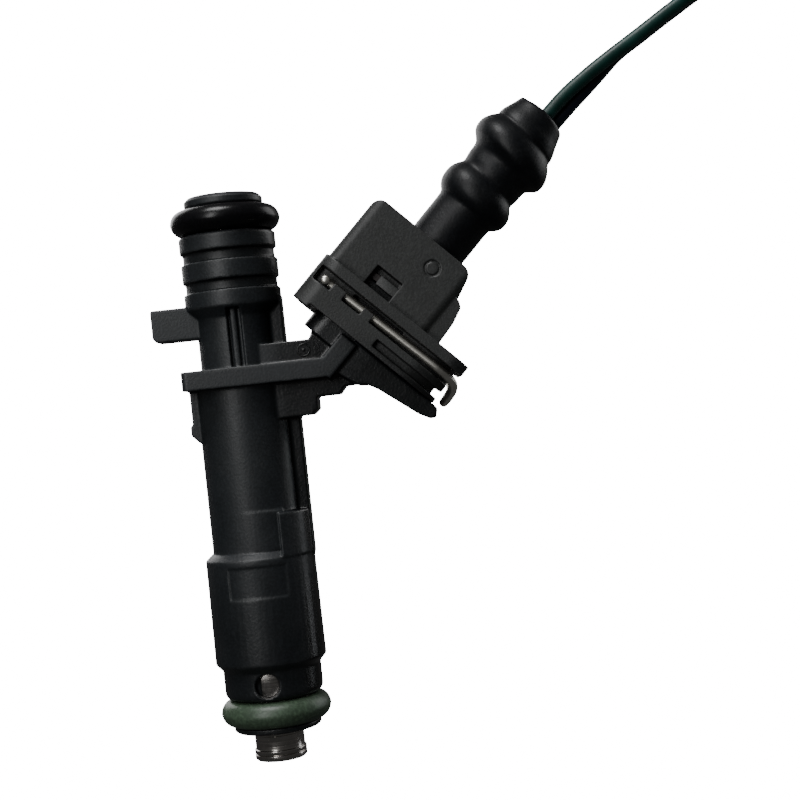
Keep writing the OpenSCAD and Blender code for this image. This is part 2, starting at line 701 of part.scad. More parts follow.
// Groove around the skirt, right of its tall front face
module skirt_groove() {
    difference() {
        translate([1.9, -20, w_skirt + 0.7]) cube([30, 40, 1.1]);
        slab(-20, lower_right - 1, plate_w - 2, 4.5, w_skirt, w_plate);
    }
}

module plug_housing() {
    color([0.11, 0.115, 0.115]) at_plug() difference() {
        plug_shell();
        skirt_groove();
        // Hollow for the socket's shroud, around the terminal block
        difference() {
            slab(-hollow_u, hollow_u, 2 * hollow_y, 2.8, w_skirt - 2, w_shroud_top + 1);
            slab(-block_len / 2, block_len / 2, block_w, 1.1, w_block, w_shroud_top + 2);
        }
        // Cells for the receptacles
        for (s = [-1, 1]) translate([s * terminal_u - cell_t / 2 - fit, -cell_w / 2 - fit, w_skirt])
            cube([cell_t + 2 * fit, cell_w + 2 * fit, w_box_top - w_skirt - 6]);
        // Chamber where the wires come together, and the boot's seat
        translate([0, 0, w_cell_top + 0.6]) cylinder(r = boot_r - 0.5, h = w_boot - w_cell_top - 0.6);
        translate([0, 0, w_boot]) cylinder(r = boot_r + fit, h = 5);
        // Windows for the clip's legs
        for (s = [-1, 1]) translate([-4, s * box_w / 2 - 2, w_plate + 0.3]) cube([8, 4, 1.5]);
        // Window onto the terminal lock
        translate([-4.1, -box_w, w_box]) cube([4.05, box_w / 2 + 1.5, 3]);
        // Pocket of the terminal lock
        translate([-lock_len / 2 - fit, -box_w / 2 + 0.37 - fit, w_box + 0.9 - fit])
            cube([lock_len + 2 * fit, lock_t + 2 * fit, lock_h + 2 * fit]);
        // Round mark on the front
        translate([1.6, -box_w / 2 + 0.2, 35.9]) rotate([90, 0, 0]) tube(1.1, 0.8, 2);
    }
}

module plug_seal() {
    color([0.25, 0.1, 0.06]) at_plug() difference() {
        slab(-hollow_u + 0.1, hollow_u - 0.1, 2 * hollow_y - 0.2, 2.7, w_shroud_top + 0.15,
            w_shroud_top + 0.98);
        slab(-block_len / 2 - 0.05, block_len / 2 + 0.05, block_w + 0.1, 1.2,
            w_shroud_top - 1, w_shroud_top + 2);
    }
}

module terminal_lock() {
    color([0.1, 0.1, 0.1]) at_plug()
        translate([-lock_len / 2, -box_w / 2 + 0.37, w_box + 0.9]) cube([lock_len, lock_t, lock_h]);
}

// One receptacle: a box that grips the blade, and the crimp behind it
module receptacle(side) {
    at_plug() translate([side * terminal_u, 0, 0]) difference() {
        translate([-cell_t / 2, -cell_w / 2, w_cell]) cube([cell_t, cell_w, w_cell_top - w_cell + 0.6]);
        translate([-blade_t / 2 - run_gap, -blade_w / 2 - run_gap, w_cell - 1])
            cube([blade_t + 2 * run_gap, blade_w + 2 * run_gap, w_cell_top - w_cell + 1]);
    }
}

module receptacle_left() {
    color([0.8, 0.78, 0.7]) receptacle(-1);
}

module receptacle_right() {
    color([0.8, 0.78, 0.7]) receptacle(1);
}

// A bent spring wire: two legs beside the box, joined by a bend around the lower plate
module wire_clip() {
    tip_u = box_left + 1.9;
    w_leg = w_plate + clip_d / 2 + 0.1;
    w_high = w_leg + 0.3;
    drop = 2.1;
    bend_u = clip_right - clip_bend_r;
    bend_y = leg_y - clip_bend_r;
    // From the tip of one leg to the bend's side, then the bend itself
    half = concat(
        [[tip_u, leg_y + 1.1, w_leg + 0.05], [tip_u, leg_y + 0.5, w_leg + 0.05],
        [tip_u + 0.2, leg_y + 0.15, w_leg], [tip_u + 0.7, leg_y, w_leg], [-4, leg_y, w_leg],
        [0, leg_y, w_leg + 0.1], [4.5, leg_y, w_leg + 0.2], [bend_u, leg_y, w_high]],
        [for (i = [1 : 6]) let (a = 15 * i) [bend_u + clip_bend_r * sin(a), bend_y + clip_bend_r * cos(a),
            i < 3 ? w_high : w_high - drop * pow((i - 2) / 4, 2.5)]],
        [[clip_right, bend_y / 2, w_high - drop - 0.5]]);
    other_half = [for (i = [len(half) - 1 : -1 : 0]) [half[i][0], -half[i][1], half[i][2]]];
    color([0.75, 0.72, 0.6]) at_plug()
        sweep(concat(half, [[clip_right, 0, w_high - drop - 0.7]], other_half), clip_d / 2, 12, [0, 0, 1]);
}

module rubber_boot() {
    color([0.05, 0.05, 0.055]) at_plug() difference() {
        union() {
            rotate_extrude() polygon(concat(
                [[0, w_boot + fit], [boot_r, w_boot + fit], [boot_r, 45]],
                arc(boot_r, 47.5, 1.15, -65, 75, 6),
                [[boot_r + 0.2, 49.6], [boot_r + 0.35, 50.2], [boot_r + 0.4, 52]],
                arc(boot_r - 0.1, 55, 2, -55, 60, 7),
                [[boot_r - 0.2, 58.6], [boot_r - 0.4, 59.4], [3.1, w_boot_end], [0, w_boot_end]]));
            // Small lug at the boot's end
            cheek([[-4, 58.8], [-2.3, 61.6], [-1.1, 61.5], [-1.1, 58.8]], 2.6);
        }
        translate([1.05, 0, w_boot - 1]) cylinder(r = 2.25, h = 30);
    }
}

// Wires

module wire(held, free) {
    sweep(concat([for (p = held) from_plug(p)], free), wire_d / 2, 8);
}

// Bare strands that carry on from the last point of a route
module strands(free) {
    n = len(free);
    d = unit(free[n - 1] - free[n - 2]);
    sweep([free[n - 1], free[n - 1] + 3 * d, free[n - 1] + 6 * d], strand_d / 2, 8);
}

module wire_green() {
    color([0.1, 0.28, 0.2]) wire(green_held, green_free);
}

module wire_dark() {
    color([0.03, 0.04, 0.08]) wire(dark_held, dark_free);
}

module strands_green() {
    color([0.8, 0.5, 0.3]) strands(green_free);
}

module strands_dark() {
    color([0.8, 0.5, 0.3]) strands(dark_free);
}

nozzle_body();
valve_seat();
orifice_plate();
valve_ball();
needle_tube();
armature();
return_spring();
valve_sleeve();
pole_core();
adjusting_sleeve();
inlet_tube();
filter_collar();
filter_frame();
filter_screen();
coil_housing();
coil_bobbin();
coil_winding();
flux_ring();
terminal_left();
terminal_right();
moulded_body();
lower_retainer();
lower_seal();
upper_seal();
inlet_cap();
plug_housing();
plug_seal();
terminal_lock();
receptacle_left();
receptacle_right();
wire_clip();
rubber_boot();
wire_green();
wire_dark();
strands_green();
strands_dark();
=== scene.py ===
# %% [markdown]
# # A fuel injector with its plug fitted
# This lesson dresses a finished CAD model of a fuel injector. The CAD model sets every size and place;
# here each visible piece gets the surface of the real one. Moulded pieces get rounded edges, the rubber
# boot, the spring clip, the O-rings and the wires are modelled again in finer mesh, and every piece gets
# a material made of nodes. All lengths are in metres, and Z runs along the injector's axis.

# %% Load the CAD model as a fixed frame
import json
import math

import bmesh
import bpy
import numpy as np
from mathutils import Matrix, Vector


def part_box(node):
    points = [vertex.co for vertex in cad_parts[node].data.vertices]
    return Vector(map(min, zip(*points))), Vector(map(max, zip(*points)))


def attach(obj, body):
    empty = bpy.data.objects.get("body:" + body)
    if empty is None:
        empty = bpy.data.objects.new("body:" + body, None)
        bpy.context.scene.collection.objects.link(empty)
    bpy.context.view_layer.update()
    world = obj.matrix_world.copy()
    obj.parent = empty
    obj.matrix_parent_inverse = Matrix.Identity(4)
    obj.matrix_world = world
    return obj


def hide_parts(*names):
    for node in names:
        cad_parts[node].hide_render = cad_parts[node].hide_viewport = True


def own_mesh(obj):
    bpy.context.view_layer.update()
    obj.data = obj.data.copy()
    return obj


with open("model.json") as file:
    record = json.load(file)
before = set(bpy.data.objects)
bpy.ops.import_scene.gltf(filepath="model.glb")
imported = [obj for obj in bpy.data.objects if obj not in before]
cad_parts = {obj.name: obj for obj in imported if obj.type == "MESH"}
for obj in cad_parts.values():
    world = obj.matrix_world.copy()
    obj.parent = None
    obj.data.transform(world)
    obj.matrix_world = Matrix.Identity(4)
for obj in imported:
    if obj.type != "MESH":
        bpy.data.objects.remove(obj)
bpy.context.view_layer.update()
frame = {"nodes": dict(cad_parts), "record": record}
nodes = frame["nodes"]
scene = bpy.context.scene
MM = 0.001

# %% [markdown]
# ## The connector's own frame
# The plug leans 45 degrees from the injector. Everything on it is easier to place in a frame of its own:
# `u` runs across the plug, `y` from front to back and `w` along it, away from the injector. Both `u` and
# `w` start on the injector's axis, 11.8 mm below the collar's underside.

# %% The connector's frame
LEAN = math.radians(45)
PLUG_Z = 37.57 * MM
ACROSS = Vector((math.cos(LEAN), 0, -math.sin(LEAN)))
ALONG = Vector((math.sin(LEAN), 0, math.cos(LEAN)))


def from_plug(u, y, w):
    """A point of the connector's frame, in millimetres, as a place in the injector's frame."""
    return Vector((0, y * MM, PLUG_Z)) + ACROSS * (u * MM) + ALONG * (w * MM)


# %% [markdown]
# ## The camera
# The camera stands level in front of the injector, 21 cm from its axis, and is rolled by 6 degrees, so
# that the injector leans to the left at its top. A matrix built from its right, up and back directions
# says this more plainly than three angles would.

# %% The camera
ROLL = math.radians(6.09)
CAMERA_DISTANCE = 0.210
VIEW_WIDTH = 0.10624
AIM = Vector((0.0206, 0, 0.0454))

camera_data = bpy.data.cameras.new("camera")
camera_data.lens = camera_data.sensor_width * CAMERA_DISTANCE / VIEW_WIDTH
camera_data.clip_start = 0.01
camera = bpy.data.objects.new("camera", camera_data)
scene.collection.objects.link(camera)
right = Vector((math.cos(ROLL), 0, -math.sin(ROLL)))
up = Vector((math.sin(ROLL), 0, math.cos(ROLL)))
back = Vector((0, -1, 0))
place = AIM + back * CAMERA_DISTANCE
camera.matrix_world = Matrix((
    (right.x, up.x, back.x, place.x),
    (right.y, up.y, back.y, place.y),
    (right.z, up.z, back.z, place.z),
    (0, 0, 0, 1)))
scene.camera = camera

# %% [markdown]
# ## Two wires that hang
# Each wire is a curve through a short list of given points. The first points lie inside the
# plug and the boot and are in the connector's frame. Past the boot the wires rise in one soft arch and
# hang straight down to their stripped ends. A curve keeps its true length, so it can be checked.

# %% Routes of the two wires
GREEN_HELD = [
    (-2.4, 0, 33.2), (-1.6, -0.3, 35), (-0.6, -0.6, 36.8), (0, -0.75, 38.6), (0.2, -0.75, 42),
    (0.2, -0.75, 47), (0.2, -0.75, 52), (0.3, -0.75, 57), (0.5, -0.8, 62), (0.65, -0.85, 65),
    (1.1, -0.95, 68), (1.7, -1.05, 71), (2.4, -1.05, 74)]
GREEN_FREE = [
    (57.3, -1.05, 90.2), (62.3, -1.05, 93.3), (67.2, -1.05, 96.1), (72, -1.05, 98.1),
    (77, -1.1, 98.1), (81.6, -1.1, 96.2), (85.2, -1.1, 93), (87.6, -1.1, 88.8), (88.5, -1.2, 84),
    (88.3, -1.4, 78), (87.9, -1.6, 71), (87.7, -1.9, 64), (87.8, -2.1, 57), (88.1, -2.3, 50),
    (88.3, -2.4, 43), (88.2, -2.5, 36), (87.9, -2.6, 29), (87.5, -2.7, 22), (87.2, -2.8, 15),
    (87, -2.8, 8), (87, -2.8, 2)]
DARK_HELD = [
    (2.5, 0, 33.2), (2.35, 0.3, 35), (1.95, 0.6, 36.8), (1.7, 0.75, 38.6), (1.65, 0.75, 42),
    (1.65, 0.75, 47), (1.65, 0.75, 52), (1.75, 0.75, 57), (1.95, 0.75, 62), (2.05, 0.85, 65),
    (2.25, 0.95, 68), (2.4, 1.05, 71), (2.55, 1.05, 74)]
DARK_FREE = [
    (57.3, 1.05, 90.1), (62.3, 1.05, 93.2), (67.2, 1.05, 96), (72, 1.05, 98), (77, 1.1, 98.1),
    (81.7, 1.1, 96.4), (85.5, 1.1, 93.4), (88.2, 1.1, 89.4), (89.5, 1.2, 84.6), (90, 1.4, 79),
    (90.2, 1.6, 72), (90.4, 1.8, 65), (90.8, 1.9, 58), (91.2, 2, 51), (91.4, 2.1, 44),
    (91.3, 2.2, 37), (91, 2.3, 30), (90.8, 2.4, 23), (90.7, 2.4, 16), (90.8, 2.4, 10),
    (90.9, 2.4, 5)]
WIRE_D = 1.9 * MM


def wire_route(held, free):
    """One list of places in metres: the held points, then the free ones."""
    return [from_plug(*p) for p in held] + [Vector(p) * MM for p in free]


def smooth_curve(name, points, radius):
    """A round bar along a smooth line through the points."""
    data = bpy.data.curves.new(name, "CURVE")
    data.dimensions = "3D"
    data.resolution_u = 8
    data.bevel_depth = radius
    data.bevel_resolution = 6
    data.use_fill_caps = True
    spline = data.splines.new("BEZIER")
    spline.bezier_points.add(len(points) - 1)
    for bezier, point in zip(spline.bezier_points, points):
        bezier.co = point
        bezier.handle_left_type = bezier.handle_right_type = "AUTO"
    piece = bpy.data.objects.new(name, data)
    scene.collection.objects.link(piece)
    return piece


green_route = wire_route(GREEN_HELD, GREEN_FREE)
dark_route = wire_route(DARK_HELD, DARK_FREE)
green_wire = smooth_curve("green_wire", green_route, WIRE_D / 2)
dark_wire = smooth_curve("dark_wire", dark_route, WIRE_D / 2)


def route_length(points):
    """Length of a route, as straight steps from point to point."""
    return sum((b - a).length for a, b in zip(points, points[1:]))


print("wires", route_length(green_route), route_length(dark_route))

# %% [markdown]
# ## Light
# Black plastic shows its shape only in what it reflects. A tall soft light stands in front, a little to
# the left, and draws a broad band down the left middle of each round piece. A second one, high above,
# lights the tops. A narrow strip on the right draws a thin line along the right edges, and two weak
# lights behind show the back. The air around is dim, so the plastic stays black, while the pale floor
# and the background are bright where the camera looks at them. The *Is Camera Ray* output of the Light
# Path node tells the two apart.

# %% Lights, background and floor
PALE = 17.0
AMBIENT = 0.07
FLOOR_GLOW = 0.05


def area_light(name, place, aim, width, height, power, colour=(1, 1, 1)):
    """A soft light at place that faces aim, its height upright."""
    data = bpy.data.lights.new(name, "AREA")
    data.shape = "RECTANGLE"
    data.size = width
    data.size_y = height
    data.energy = power
    data.color = colour
    lamp = bpy.data.objects.new(name, data)
    lamp.location = place
    lamp.rotation_euler = (Vector(aim) - Vector(place)).to_track_quat("-Z", "Y").to_euler()
    scene.collection.objects.link(lamp)


MIDDLE = (0.02, 0, 0.045)
area_light("tall_light", (-0.15, -0.35, 0.18), MIDDLE, 0.09, 0.30, 0.78)
area_light("top_light", (-0.06, -0.13, 0.42), MIDDLE, 0.16, 0.16, 1.35)
area_light("edge_strip", (0.34, 0.10, 0.06), MIDDLE, 0.04, 0.30, 0.10, (0.92, 0.96, 1))
area_light("back_light", (-0.14, 0.34, 0.22), MIDDLE, 0.30, 0.30, 0.75)
area_light("side_light", (0.36, 0.22, 0.20), MIDDLE, 0.20, 0.30, 0.4)


def bright_for_camera(tree, elsewhere):
    """A strength that is PALE where the camera looks at it, and elsewhere in reflections and light."""
    path = tree.nodes.new("ShaderNodeLightPath")
    strength = tree.nodes.new("ShaderNodeMapRange")
    strength.inputs["To Min"].default_value = elsewhere
    strength.inputs["To Max"].default_value = PALE
    tree.links.new(path.outputs["Is Camera Ray"], strength.inputs["Value"])
    return strength.outputs["Result"]


world = bpy.data.worlds.new("studio")
scene.world = world
world.use_nodes = True
sky = world.node_tree.nodes["Background"]
sky.inputs["Color"].default_value = (1, 1, 1, 1)
world.node_tree.links.new(bright_for_camera(world.node_tree, AMBIENT), sky.inputs["Strength"])

FLOOR_Z = -0.045
FLOOR_R = 4.0
floor_mesh = bpy.data.meshes.new("floor")
floor_tool = bmesh.new()
bmesh.ops.create_circle(floor_tool, cap_ends=True, segments=64, radius=FLOOR_R)
bmesh.ops.translate(floor_tool, vec=(0, 0, FLOOR_Z), verts=floor_tool.verts)
floor_tool.to_mesh(floor_mesh)
floor_tool.free()
floor = bpy.data.objects.new("floor", floor_mesh)
scene.collection.objects.link(floor)

floor_finish = bpy.data.materials.new("pale_floor")
floor_finish.use_nodes = True
floor_tree = floor_finish.node_tree
floor_tree.nodes.clear()
glow = floor_tree.nodes.new("ShaderNodeEmission")
glow.inputs["Color"].default_value = (1, 1, 1, 1)
floor_tree.links.new(bright_for_camera(floor_tree, FLOOR_GLOW), glow.inputs["Strength"])
floor_out = floor_tree.nodes.new("ShaderNodeOutputMaterial")
floor_tree.links.new(glow.outputs["Emission"], floor_out.inputs["Surface"])
floor_mesh.materials.append(floor_finish)

# %% [markdown]
# ## Shared effects as node groups
# Several materials share four effects. *Moulded grain* is the fine pebble of a spark-eroded mould.
# *Handling* is the soft, uneven polish and the grey dust that a used part picks up. *Turned lines* are
# the fine rings that a lathe leaves on steel. *Painted shade* darkens the plastic and makes it glossier
# where shade falls, beside the barrel and under the plug, and it also darkens the low end. Each is one
# group with named inputs, and it puts out only values, so that the materials themselves keep the shader.


# %% Helpers for node groups
def new_group(name, inputs, outputs):
    """An empty shader group. inputs and outputs are (name, type, default)."""
    group = bpy.data.node_groups.new(name, "ShaderNodeTree")
    for label, kind, default in inputs:
        socket = group.interface.new_socket(label, in_out="INPUT", socket_type=kind)
        if default is not None:
            socket.default_value = default
    for label, kind in outputs:
        group.interface.new_socket(label, in_out="OUTPUT", socket_type=kind)
    return group, group.nodes.new("NodeGroupInput"), group.nodes.new("NodeGroupOutput")


def give(tree, socket, value):
    """Sets an input, or links it where the value is a socket."""
    if isinstance(value, bpy.types.NodeSocket):
        tree.links.new(value, socket)
    else:
        socket.default_value = value


def add(tree, kind, **values):
    """A new node with the named inputs given."""
    node = tree.nodes.new("ShaderNode" + kind)
    for label, value in values.items():
        give(tree, node.inputs[label], value)
    return node


def math_node(tree, operation, a, b=0.0):
    """One Math node, and its output."""
    node = tree.nodes.new("ShaderNodeMath")
    node.operation = operation
    for socket, value in zip(node.inputs, (a, b)):
        give(tree, socket, value)
    return node.outputs[0]


def mix_colour(tree, share, a, b):
    """A colour between a and b."""
    node = tree.nodes.new("ShaderNodeMix")
    node.data_type = "RGBA"
    for label, kind, value in (("Factor", "VALUE", share), ("A", "RGBA", a), ("B", "RGBA", b)):
        give(tree, [s for s in node.inputs if s.name == label and s.type == kind][0], value)
    return [s for s in node.outputs if s.type == "RGBA"][0]


def ramp(tree, value, low, high):
    """0 below low, 1 above high."""
    node = add(tree, "MapRange", Value=value)
    node.inputs["From Min"].default_value = low
    node.inputs["From Max"].default_value = high
    return node.outputs["Result"]


# %% Moulded grain, handling, turned lines and shelter
def moulded_grain():
    """Height and a light-dark value of a fine, even pebble."""
    tree, given, out = new_group(
        "moulded grain",
        [("Size", "NodeSocketFloat", 0.25), ("Mottle", "NodeSocketFloat", 1.0)],
        [("Height", "NodeSocketFloat"), ("Mottle", "NodeSocketFloat")])
    place = tree.nodes.new("ShaderNodeTexCoord").outputs["Object"]
    scale = math_node(tree, "DIVIDE", 1000.0, given.outputs["Size"])
    fine = add(tree, "TexNoise", Vector=place, Scale=scale, Detail=2.0, Roughness=0.6)
    broad = add(tree, "TexNoise", Vector=place, Scale=260.0, Detail=5.0, Roughness=0.62)
    tree.links.new(fine.outputs["Fac"], out.inputs["Height"])
    spread = math_node(tree, "MULTIPLY", math_node(tree, "SUBTRACT", broad.outputs["Fac"], 0.5),
                       given.outputs["Mottle"])
    tree.links.new(spread, out.inputs["Mottle"])
    return tree


def handling():
    """Where edges are rubbed and where dust has settled, from 0 to 1."""
    tree, given, out = new_group(
        "handling",
        [("Wear", "NodeSocketFloat", 1.0), ("Dust", "NodeSocketFloat", 1.0)],
        [("Rubbed", "NodeSocketFloat"), ("Dusty", "NodeSocketFloat")])
    place = tree.nodes.new("ShaderNodeTexCoord").outputs["Object"]
    edge = tree.nodes.new("ShaderNodeAttribute")
    edge.attribute_name = "edge"
    patch = add(tree, "TexNoise", Vector=place, Scale=900.0, Detail=3.0, Roughness=0.7)
    rubbed = math_node(tree, "MULTIPLY", edge.outputs["Fac"],
                       ramp(tree, patch.outputs["Fac"], 0.38, 0.72))
    tree.links.new(math_node(tree, "MULTIPLY", rubbed, given.outputs["Wear"]), out.inputs["Rubbed"])
    cloud = add(tree, "TexNoise", Vector=place, Scale=120.0, Detail=6.0, Roughness=0.68, Distortion=0.4)
    speck = add(tree, "TexNoise", Vector=place, Scale=5200.0, Detail=1.0)
    dusty = math_node(tree, "MULTIPLY", ramp(tree, cloud.outputs["Fac"], 0.45, 0.75),
                      ramp(tree, speck.outputs["Fac"], 0.35, 0.65))
    tree.links.new(math_node(tree, "MULTIPLY", dusty, given.outputs["Dust"]), out.inputs["Dusty"])
    return tree


def turned_lines():
    """Fine rings around Z: their height, and how much they scatter light."""
    tree, given, out = new_group(
        "turned lines",
        [("Pitch", "NodeSocketFloat", 0.12), ("Streak", "NodeSocketFloat", 1.0)],
        [("Height", "NodeSocketFloat"), ("Streak", "NodeSocketFloat")])
    place = tree.nodes.new("ShaderNodeTexCoord").outputs["Object"]
    stretched = tree.nodes.new("ShaderNodeMapping")
    stretched.inputs["Scale"].default_value = (0.02, 0.02, 1)
    tree.links.new(place, stretched.inputs["Vector"])
    scale = math_node(tree, "DIVIDE", 1000.0, given.outputs["Pitch"])
    lines = add(tree, "TexNoise", Vector=stretched.outputs["Vector"], Scale=scale, Detail=3.0,
                Roughness=0.7)
    tree.links.new(lines.outputs["Fac"], out.inputs["Height"])
    broad = add(tree, "TexNoise", Vector=place, Scale=700.0, Detail=4.0)
    streak = math_node(tree, "ADD", math_node(tree, "MULTIPLY", lines.outputs["Fac"], 0.6),
                       math_node(tree, "MULTIPLY", broad.outputs["Fac"], 0.4))
    tree.links.new(math_node(tree, "MULTIPLY", math_node(tree, "SUBTRACT", streak, 0.5),
                             given.outputs["Streak"]), out.inputs["Streak"])
    return tree


def painted_shade_and_low_end():
    """Painted shade beside the barrel and under the plug, where shade falls, and a darkening towards the
    low end.
    """
    tree, given, out = new_group(
        "painted_shade_and_low_end", [("Amount", "NodeSocketFloat", 1.0)],
        [("Painted shade", "NodeSocketFloat"), ("Darker low end", "NodeSocketFloat")])
    place = tree.nodes.new("ShaderNodeTexCoord").outputs["Object"]
    parts = add(tree, "SeparateXYZ", Vector=place)
    off_middle = math_node(tree, "ABSOLUTE", parts.outputs["Y"])
    behind = math_node(tree, "SUBTRACT", 1.0, ramp(tree, off_middle, 4.3 * MM, 5.7 * MM))
    beside = ramp(tree, parts.outputs["X"], 3.4 * MM, 6 * MM)
    height = math_node(tree, "SUBTRACT", parts.outputs["Z"], PLUG_Z)
    along = math_node(tree, "MULTIPLY", math_node(tree, "ADD", parts.outputs["X"], height),
                      math.sin(LEAN))
    across = math_node(tree, "MULTIPLY", math_node(tree, "SUBTRACT", parts.outputs["X"], height),
                       math.cos(LEAN))
    below = math_node(tree, "SUBTRACT", 1.0, ramp(tree, along, 23.2 * MM, 24.4 * MM))
    band = math_node(tree, "MULTIPLY", below, ramp(tree, along, 12 * MM, 17 * MM))
    pad = math_node(tree, "MULTIPLY", band, ramp(tree, across, -2 * MM, 3 * MM))
    # Painted shade: faces set back beside the barrel, and the pad under the plug, where shade falls.
    either = math_node(tree, "MAXIMUM", math_node(tree, "MULTIPLY", behind, beside), pad)
    tree.links.new(math_node(tree, "MULTIPLY", either, given.outputs["Amount"]),
                   out.inputs["Painted shade"])
    # Darker towards the low end, below about 27 mm.
    low = math_node(tree, "SUBTRACT", 1.0, ramp(tree, parts.outputs["Z"], 17 * MM, 27 * MM))
    tree.links.new(math_node(tree, "MULTIPLY", low, given.outputs["Amount"]), out.inputs["Darker low end"])
    return tree


GROUPS = {"grain": moulded_grain(), "handling": handling(), "turned": turned_lines(),
          "painted_shade_and_low_end": painted_shade_and_low_end()}
print("groups", list(GROUPS))

# %% [markdown]
# ## Materials
# Each finish of the object is one material. Three short functions make them: moulded plastic and
# rubber, machined or drawn metal, and extruded wire insulation. What changes over the surface comes
# from the groups; what is the same everywhere, such as the specular level, is set on the shader itself.


# %% Functions that make a material
def place_group(tree, name, **values):
    """One of the shared groups, with its inputs set."""
    node = tree.nodes.new("ShaderNodeGroup")
    node.node_tree = GROUPS[name]
    for label, value in values.items():
        node.inputs[label].default_value = value
    return node


def start_material(name):
    """An empty material, its tree and its shader."""
    material = bpy.data.materials.new(name)
    material.use_nodes = True
    tree = material.node_tree
    return material, tree, tree.nodes["Principled BSDF"]


def bump(tree, shader, height, strength, distance):
    """Feeds a height to the shader's normal."""
    node = add(tree, "Bump", Height=height, Strength=strength, Distance=distance)
    tree.links.new(node.outputs["Normal"], shader.inputs["Normal"])


def rgba(colour, factor=1.0):
    """A colour with full alpha, made lighter or darker by factor."""
    return tuple(min(1.0, c * factor) for c in colour) + (1.0,)


def moulded(name, colour, rough, grain=0.25, depth=0.02, wear=0.6, dust=0.5, mottle=1.0, dull=None,
            specular=0.5, painted_shade_and_low_end=0.0):
    """Plastic or rubber out of a mould."""
    material, tree, shader = start_material(name)
    pebble = place_group(tree, "grain", Size=grain, Mottle=mottle)
    used = place_group(tree, "handling", Wear=wear, Dust=dust)
    worn = dull or tuple(0.045 + c * 1.6 for c in colour)
    light = ramp(tree, pebble.outputs["Mottle"], -0.35, 0.35)
    broad = mix_colour(tree, light, rgba(colour, 0.72), rgba(colour, 1.35))
    speckle = ramp(tree, pebble.outputs["Height"], 0.42, 0.70)
    body = mix_colour(tree, math_node(tree, "MULTIPLY", speckle, 0.5), broad, rgba(colour, 2.6))
    rubbed = mix_colour(tree, used.outputs["Rubbed"], body, rgba(worn))
    dusty = mix_colour(tree, math_node(tree, "MULTIPLY", used.outputs["Dusty"], 0.35), rubbed,
                       rgba((0.10, 0.10, 0.098)))
    # Painted shade: the colour goes nearly black on the faces the shade group marks, set back beside the
    # barrel and under the plug, and darker towards the low end; the roughness is lowered there too.
    away = place_group(tree, "painted_shade_and_low_end", Amount=painted_shade_and_low_end)
    darker = math_node(tree, "ADD", math_node(tree, "MULTIPLY", away.outputs["Painted shade"], 0.75),
                       math_node(tree, "MULTIPLY", away.outputs["Darker low end"], 0.30))
    tree.links.new(mix_colour(tree, darker, dusty, rgba(colour, 0.12)), shader.inputs["Base Color"])
    uneven = math_node(tree, "MULTIPLY", pebble.outputs["Mottle"], 0.25)
    dust_dulls = math_node(tree, "MULTIPLY", used.outputs["Dusty"], 0.15)
    duller = math_node(tree, "ADD", math_node(tree, "ADD", rough, uneven), dust_dulls)
    glossy = math_node(tree, "SUBTRACT", duller, math_node(tree, "MULTIPLY", darker, 0.22))
    tree.links.new(math_node(tree, "MAXIMUM", glossy, 0.08), shader.inputs["Roughness"])
    shader.inputs["Specular IOR Level"].default_value = specular
    bump(tree, shader, pebble.outputs["Height"], 0.6, depth * MM)
    return material


def machined(name, colour, rough, pitch=0.12, depth=0.004, streak=1.0, tint=None):
    """Turned, ground or drawn metal."""
    material, tree, shader = start_material(name)
    lines = place_group(tree, "turned", Pitch=pitch, Streak=streak)
    used = place_group(tree, "handling", Wear=0.6, Dust=0.8)
    light = ramp(tree, lines.outputs["Streak"], -0.4, 0.4)
    bare = mix_colour(tree, light, rgba(colour, 0.6), rgba(colour, 1.25))
    stained = mix_colour(tree, math_node(tree, "MULTIPLY", used.outputs["Dusty"], 0.6), bare,
                         rgba(tint or tuple(c * 0.45 for c in colour)))
    tree.links.new(stained, shader.inputs["Base Color"])
    shader.inputs["Metallic"].default_value = 1.0
    tree.links.new(math_node(tree, "MAXIMUM", math_node(
        tree, "ADD", rough, math_node(tree, "MULTIPLY", lines.outputs["Streak"], 0.4)), 0.05),
        shader.inputs["Roughness"])
    bump(tree, shader, lines.outputs["Height"], 0.5, depth * MM)
    return material


def extruded(name, colour, rough):
    """Wire insulation, drawn along its length: faint lines of colour, and a satin gloss."""
    material, tree, shader = start_material(name)
    place = tree.nodes.new("ShaderNodeTexCoord").outputs["Object"]
    cloud = add(tree, "TexNoise", Vector=place, Scale=420.0, Detail=5.0, Roughness=0.6)
    fine = add(tree, "TexNoise", Vector=place, Scale=3800.0, Detail=2.0)
    tree.links.new(mix_colour(tree, ramp(tree, cloud.outputs["Fac"], 0.3, 0.7), rgba(colour, 0.7),
                              rgba(colour, 1.35)), shader.inputs["Base Color"])
    tree.links.new(math_node(tree, "ADD", rough, math_node(
        tree, "MULTIPLY", cloud.outputs["Fac"], 0.12)), shader.inputs["Roughness"])
    shader.inputs["Specular IOR Level"].default_value = 0.38
    bump(tree, shader, fine.outputs["Fac"], 0.25, 0.012 * MM)
    return material


